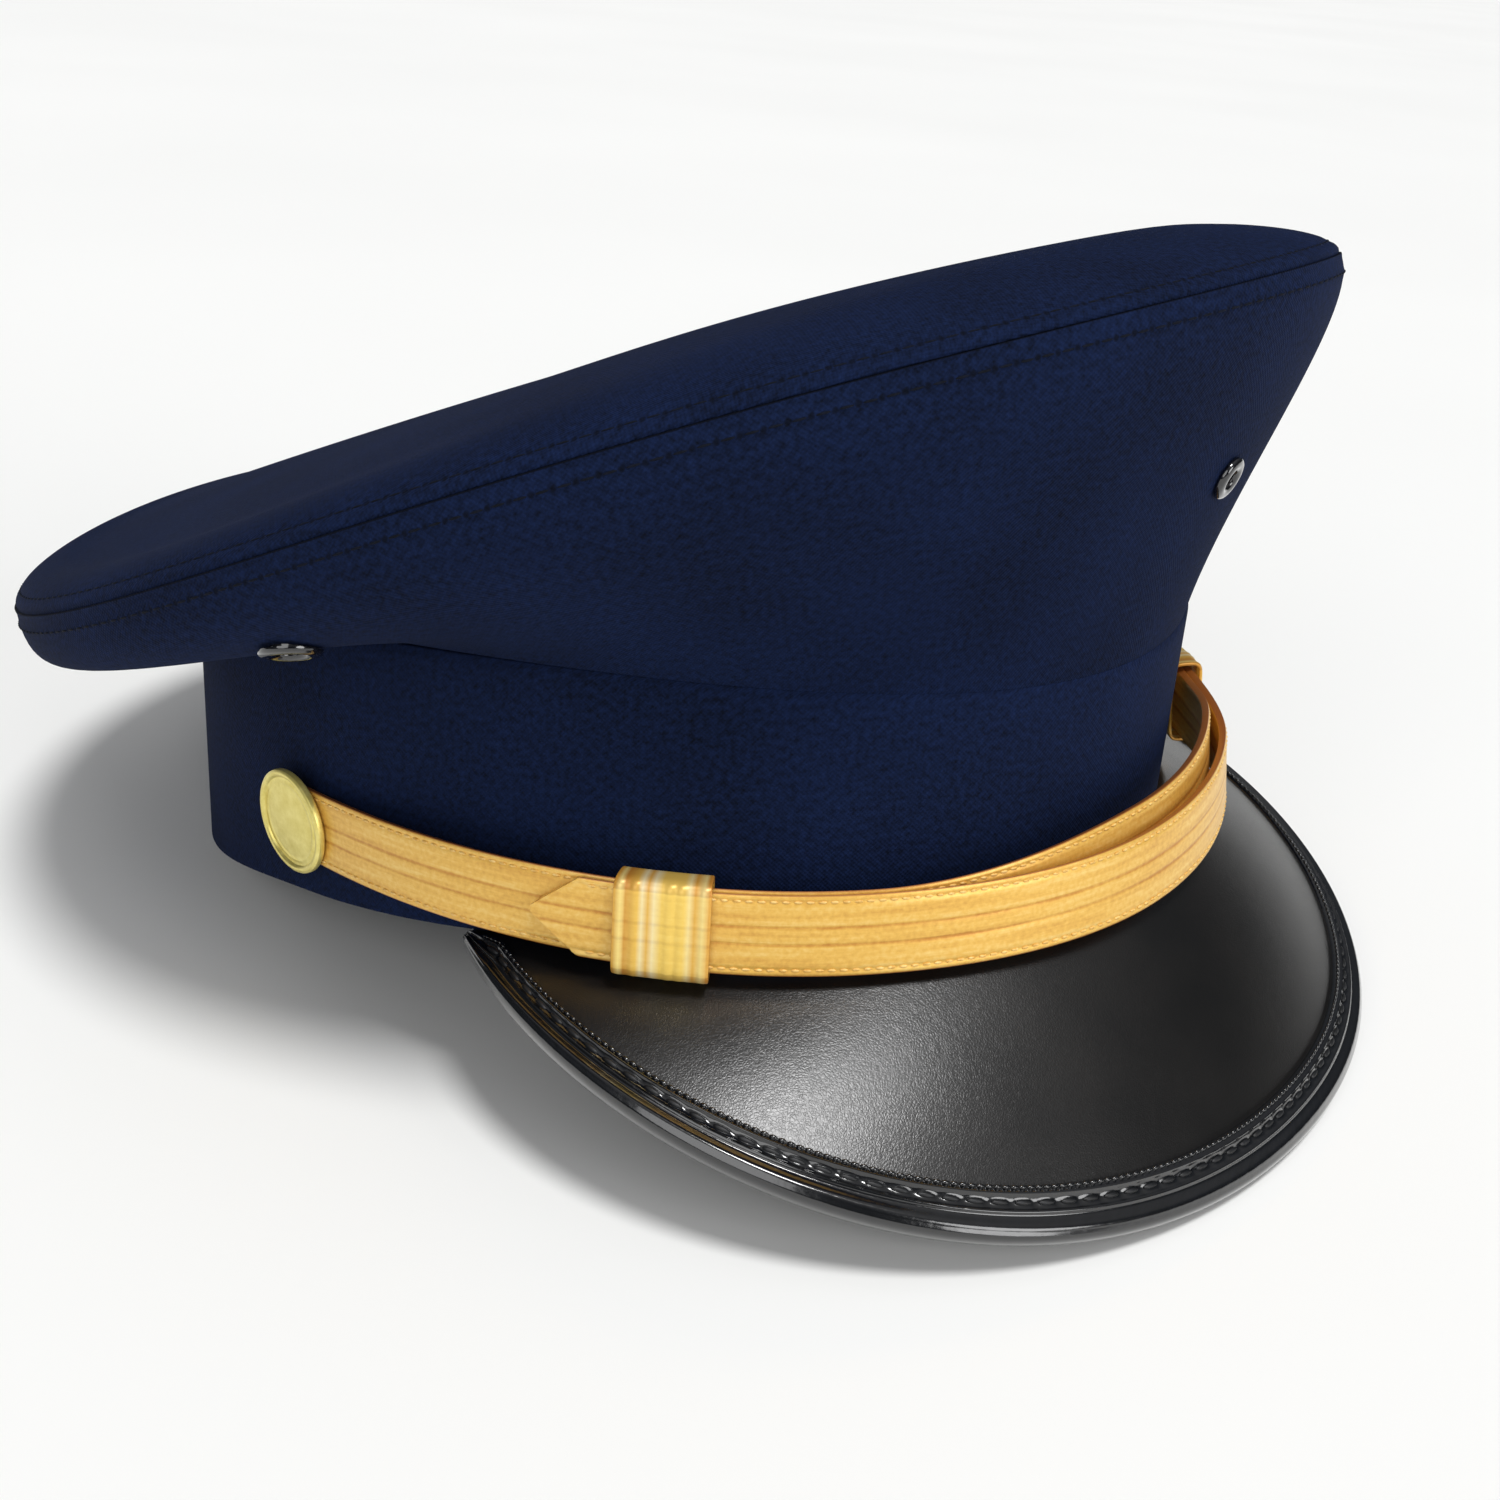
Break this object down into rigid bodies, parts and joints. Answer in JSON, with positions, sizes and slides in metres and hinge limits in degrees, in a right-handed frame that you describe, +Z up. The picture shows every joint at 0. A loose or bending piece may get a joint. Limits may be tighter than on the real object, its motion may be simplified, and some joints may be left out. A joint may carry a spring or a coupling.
{
  "type": "peaked cap",
  "caption": "Stiff-crowned cloth uniform cap with a downturned leather peak, a strap across the front and a button each side.",
  "frame": {"origin": "centre of the cap's box on the surface it rests on", "axes": "+Z up, the peak points along -Y and the wearer's right is -X; the cap lies as it rests by itself, on the peak's front edge and the back of the band"},
  "size_m": [0.2392, 0.2826, 0.1493],
  "materials": {
    "navy_cloth": "matt woven",
    "black_leather": "fine grain, satin",
    "glossy_binding": "patent, glossy",
    "gold_strap": "gold faced, satin",
    "gilt_button": "polished gilt",
    "black_eyelet": "glossy black"
  },
  "bodies": {
    "root": {"band": "navy_cloth", "crown_side": "navy_cloth", "crown_top": "navy_cloth", "peak": "black_leather", "peak_binding": "glossy_binding", "strap_inner": "gold_strap", "strap_outer": "gold_strap", "keeper_right": "gold_strap", "keeper_left": "gold_strap", "button_right": "gilt_button", "button_left": "gilt_button", "badge_eyelet": "black_eyelet", "vent_eyelet_right": "black_eyelet", "vent_eyelet_left": "black_eyelet"}
  },
  "joints": []
}
